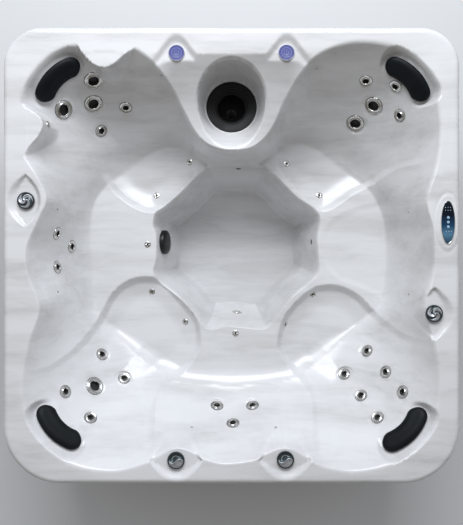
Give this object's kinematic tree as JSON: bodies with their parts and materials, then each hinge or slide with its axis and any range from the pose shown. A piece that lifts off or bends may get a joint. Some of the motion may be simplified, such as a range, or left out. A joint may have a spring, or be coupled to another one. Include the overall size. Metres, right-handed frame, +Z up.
{
  "type": "hot tub",
  "caption": "Square hot tub: moulded white acrylic shell with sculpted seats, footwell, jets, head pillows, diverter knobs, control panel and skimmer filter in a planked cabinet.",
  "frame": {"origin": "on the floor under the middle of the tub", "axes": "+Z up, -Y the front (the side with the two knobs), +X the side with the control panel"},
  "size_m": [2, 2, 0.9132],
  "materials": {
    "acrylic": "polished white marbled acrylic",
    "base": "moulded black pan",
    "foam_block": "rigid white support block",
    "cabinet_plank": "brown wood-grain synthetic planks",
    "cabinet_post": "satin black corner moulding",
    "pump": "black painted motor and pump housing",
    "heater": "brushed tube",
    "control_pack": "grey enclosure",
    "pipe": "white plastic pipe",
    "canister": "warm grey moulding",
    "cartridge": "pleated filter cloth",
    "weir": "black ring with concentric steps",
    "suction_cover": "ribbed black cover",
    "light_lens": "violet ringed lens",
    "panel_screen": "glossy overlay, navy fading to light blue",
    "pillow": "soft black closed foam with a satin skin",
    "jet": "polished ring round a black mouth",
    "knob": "silver cap on a dark ring",
    "button": "soft pale blue key"
  },
  "bodies": {
    "tub": {"shell": "acrylic", "base_pan": "base", "floor_support": "foam_block", "front_panel": "cabinet_plank", "right_panel": "cabinet_plank", "back_panel": "cabinet_plank", "left_panel": "cabinet_plank", "front_left_post": "cabinet_post", "front_right_post": "cabinet_post", "back_left_post": "cabinet_post", "back_right_post": "cabinet_post", "pump": "pump", "heater": "heater", "control_pack": "control_pack", "suction_pipe": "pipe", "filter_canister": "canister", "filter_cartridge": "cartridge", "suction_cover": "suction_cover", "left_light": "light_lens", "right_light": "light_lens", "control_panel": "panel_screen", "back_left_pillow": "pillow", "back_right_pillow": "pillow", "front_left_pillow": "pillow", "front_right_pillow": "pillow"},
    "back_left_jet_1": {"back_left_jet_1": "jet"},
    "back_left_jet_2": {"back_left_jet_2": "jet"},
    "back_left_jet_3": {"back_left_jet_3": "jet"},
    "back_left_jet_4": {"back_left_jet_4": "jet"},
    "back_left_jet_5": {"back_left_jet_5": "jet"},
    "back_right_jet_1": {"back_right_jet_1": "jet"},
    "back_right_jet_2": {"back_right_jet_2": "jet"},
    "back_right_jet_3": {"back_right_jet_3": "jet"},
    "back_right_jet_4": {"back_right_jet_4": "jet"},
    "back_right_jet_5": {"back_right_jet_5": "jet"},
    "left_jet_1": {"left_jet_1": "jet"},
    "left_jet_2": {"left_jet_2": "jet"},
    "left_jet_3": {"left_jet_3": "jet"},
    "front_left_jet_1": {"front_left_jet_1": "jet"},
    "front_left_jet_2": {"front_left_jet_2": "jet"},
    "front_left_jet_3": {"front_left_jet_3": "jet"},
    "front_left_jet_4": {"front_left_jet_4": "jet"},
    "front_left_jet_5": {"front_left_jet_5": "jet"},
    "front_right_jet_1": {"front_right_jet_1": "jet"},
    "front_right_jet_2": {"front_right_jet_2": "jet"},
    "front_right_jet_3": {"front_right_jet_3": "jet"},
    "front_right_jet_4": {"front_right_jet_4": "jet"},
    "front_right_jet_5": {"front_right_jet_5": "jet"},
    "front_right_jet_6": {"front_right_jet_6": "jet"},
    "front_jet_1": {"front_jet_1": "jet"},
    "front_jet_2": {"front_jet_2": "jet"},
    "front_jet_3": {"front_jet_3": "jet"},
    "front_left_knob": {"front_left_knob": "knob"},
    "front_right_knob": {"front_right_knob": "knob"},
    "left_knob": {"left_knob": "knob"},
    "right_knob": {"right_knob": "knob"},
    "panel_button_1": {"panel_button_1": "button"},
    "panel_button_2": {"panel_button_2": "button"},
    "panel_button_3": {"panel_button_3": "button"},
    "skimmer_weir": {"skimmer_weir": "weir"}
  },
  "joints": [
    {"name": "back_left_jet_1_turn", "type": "hinge", "parent": "tub", "child": "back_left_jet_1", "pos_m": [-0.633, 0.802, 0.74209], "axis": [0.2074, -0.7382, 0.6419], "range_deg": [0, 90]},
    {"name": "back_left_jet_2_turn", "type": "hinge", "parent": "tub", "child": "back_left_jet_2", "pos_m": [-0.772, 0.67, 0.7365], "axis": [0.6301, -0.3252, 0.7051], "range_deg": [0, 90]},
    {"name": "back_left_jet_3_turn", "type": "hinge", "parent": "tub", "child": "back_left_jet_3", "pos_m": [-0.651, 0.715, 0.65728], "axis": [0.3212, -0.6456, 0.6929], "range_deg": [0, 90]},
    {"name": "back_left_jet_4_turn", "type": "hinge", "parent": "tub", "child": "back_left_jet_4", "pos_m": [-0.505, 0.707, 0.61147], "axis": [-0.0115, -0.7213, 0.6925], "range_deg": [0, 90]},
    {"name": "back_left_jet_5_turn", "type": "hinge", "parent": "tub", "child": "back_left_jet_5", "pos_m": [-0.632, 0.605, 0.55969], "axis": [0.5357, -0.3772, 0.7555], "range_deg": [0, 90]},
    {"name": "back_right_jet_1_turn", "type": "hinge", "parent": "tub", "child": "back_right_jet_1", "pos_m": [0.619, 0.804, 0.73013], "axis": [-0.1879, -0.7586, 0.6239], "range_deg": [0, 90]},
    {"name": "back_right_jet_2_turn", "type": "hinge", "parent": "tub", "child": "back_right_jet_2", "pos_m": [0.745, 0.768, 0.7728], "axis": [-0.5869, -0.6351, 0.5021], "range_deg": [0, 90]},
    {"name": "back_right_jet_3_turn", "type": "hinge", "parent": "tub", "child": "back_right_jet_3", "pos_m": [0.671, 0.707, 0.6521], "axis": [-0.4959, -0.5559, 0.6672], "range_deg": [0, 90]},
    {"name": "back_right_jet_4_turn", "type": "hinge", "parent": "tub", "child": "back_right_jet_4", "pos_m": [0.602, 0.642, 0.55508], "axis": [-0.2869, -0.6357, 0.7167], "range_deg": [0, 90]},
    {"name": "back_right_jet_5_turn", "type": "hinge", "parent": "tub", "child": "back_right_jet_5", "pos_m": [0.778, 0.648, 0.71644], "axis": [-0.7209, -0.3261, 0.6115], "range_deg": [0, 90]},
    {"name": "left_jet_1_turn", "type": "hinge", "parent": "tub", "child": "left_jet_1", "pos_m": [-0.807, 0.102, 0.71186], "axis": [0.9101, -0.2757, 0.3095], "range_deg": [0, 90]},
    {"name": "left_jet_2_turn", "type": "hinge", "parent": "tub", "child": "left_jet_2", "pos_m": [-0.769, 0.044, 0.58537], "axis": [0.9034, -0.1144, 0.4133], "range_deg": [0, 90]},
    {"name": "left_jet_3_turn", "type": "hinge", "parent": "tub", "child": "left_jet_3", "pos_m": [-0.813, -0.054, 0.68673], "axis": [0.9118, 0.1633, 0.3769], "range_deg": [0, 90]},
    {"name": "front_left_jet_1_turn", "type": "hinge", "parent": "tub", "child": "front_left_jet_1", "pos_m": [-0.769, -0.63, 0.71421], "axis": [0.7205, 0.2671, 0.6399], "range_deg": [0, 90]},
    {"name": "front_left_jet_2_turn", "type": "hinge", "parent": "tub", "child": "front_left_jet_2", "pos_m": [-0.655, -0.753, 0.70484], "axis": [0.358, 0.6623, 0.6581], "range_deg": [0, 90]},
    {"name": "front_left_jet_3_turn", "type": "hinge", "parent": "tub", "child": "front_left_jet_3", "pos_m": [-0.656, -0.625, 0.60346], "axis": [0.5777, 0.4193, 0.7004], "range_deg": [0, 90]},
    {"name": "front_left_jet_4_turn", "type": "hinge", "parent": "tub", "child": "front_left_jet_4", "pos_m": [-0.637, -0.486, 0.51585], "axis": [0.6116, 0.3883, 0.6893], "range_deg": [0, 90]},
    {"name": "front_left_jet_5_turn", "type": "hinge", "parent": "tub", "child": "front_left_jet_5", "pos_m": [-0.529, -0.605, 0.51146], "axis": [0.2755, 0.6071, 0.7453], "range_deg": [0, 90]},
    {"name": "front_right_jet_1_turn", "type": "hinge", "parent": "tub", "child": "front_right_jet_1", "pos_m": [0.665, -0.468, 0.52415], "axis": [-0.6386, 0.4117, 0.6501], "range_deg": [0, 90]},
    {"name": "front_right_jet_2_turn", "type": "hinge", "parent": "tub", "child": "front_right_jet_2", "pos_m": [0.557, -0.585, 0.50389], "axis": [-0.4113, 0.5115, 0.7544], "range_deg": [0, 90]},
    {"name": "front_right_jet_3_turn", "type": "hinge", "parent": "tub", "child": "front_right_jet_3", "pos_m": [0.731, -0.552, 0.63662], "axis": [-0.7082, 0.2997, 0.6393], "range_deg": [0, 90]},
    {"name": "front_right_jet_4_turn", "type": "hinge", "parent": "tub", "child": "front_right_jet_4", "pos_m": [0.787, -0.628, 0.73445], "axis": [-0.7414, 0.2673, 0.6156], "range_deg": [0, 90]},
    {"name": "front_right_jet_5_turn", "type": "hinge", "parent": "tub", "child": "front_right_jet_5", "pos_m": [0.62, -0.67, 0.6066], "axis": [-0.4475, 0.5676, 0.6911], "range_deg": [0, 90]},
    {"name": "front_right_jet_6_turn", "type": "hinge", "parent": "tub", "child": "front_right_jet_6", "pos_m": [0.676, -0.75, 0.71532], "axis": [-0.4549, 0.6132, 0.6458], "range_deg": [0, 90]},
    {"name": "front_jet_1_turn", "type": "hinge", "parent": "tub", "child": "front_jet_1", "pos_m": [-0.07, -0.723, 0.58534], "axis": [0.1055, 0.8278, 0.551], "range_deg": [0, 90]},
    {"name": "front_jet_2_turn", "type": "hinge", "parent": "tub", "child": "front_jet_2", "pos_m": [0.007, -0.785, 0.67493], "axis": [-0.0525, 0.8576, 0.5116], "range_deg": [0, 90]},
    {"name": "front_jet_3_turn", "type": "hinge", "parent": "tub", "child": "front_jet_3", "pos_m": [0.101, -0.721, 0.59123], "axis": [-0.1447, 0.8359, 0.5295], "range_deg": [0, 90]},
    {"name": "front_left_knob_turn", "type": "hinge", "parent": "tub", "child": "front_left_knob", "pos_m": [-0.243, -0.897, 0.882], "axis": [0, 0, 1], "range_deg": [-90, 90]},
    {"name": "front_right_knob_turn", "type": "hinge", "parent": "tub", "child": "front_right_knob", "pos_m": [0.236, -0.894, 0.882], "axis": [0, 0, 1], "range_deg": [-90, 90]},
    {"name": "left_knob_turn", "type": "hinge", "parent": "tub", "child": "left_knob", "pos_m": [-0.9, 0.24, 0.882], "axis": [0, 0, 1], "range_deg": [-90, 90]},
    {"name": "right_knob_turn", "type": "hinge", "parent": "tub", "child": "right_knob", "pos_m": [0.887, -0.254, 0.882], "axis": [0, 0, 1], "range_deg": [-90, 90]},
    {"name": "panel_button_1_press", "type": "slide", "parent": "tub", "child": "panel_button_1", "axis": [0, 0, 1], "range_m": [-0.0015, 0]},
    {"name": "panel_button_2_press", "type": "slide", "parent": "tub", "child": "panel_button_2", "axis": [0, 0, 1], "range_m": [-0.0015, 0]},
    {"name": "panel_button_3_press", "type": "slide", "parent": "tub", "child": "panel_button_3", "axis": [0, 0, 1], "range_m": [-0.0015, 0]},
    {"name": "skimmer_weir_float", "type": "slide", "parent": "tub", "child": "skimmer_weir", "axis": [0, 0, 1], "range_m": [0, 0.03]}
  ]
}
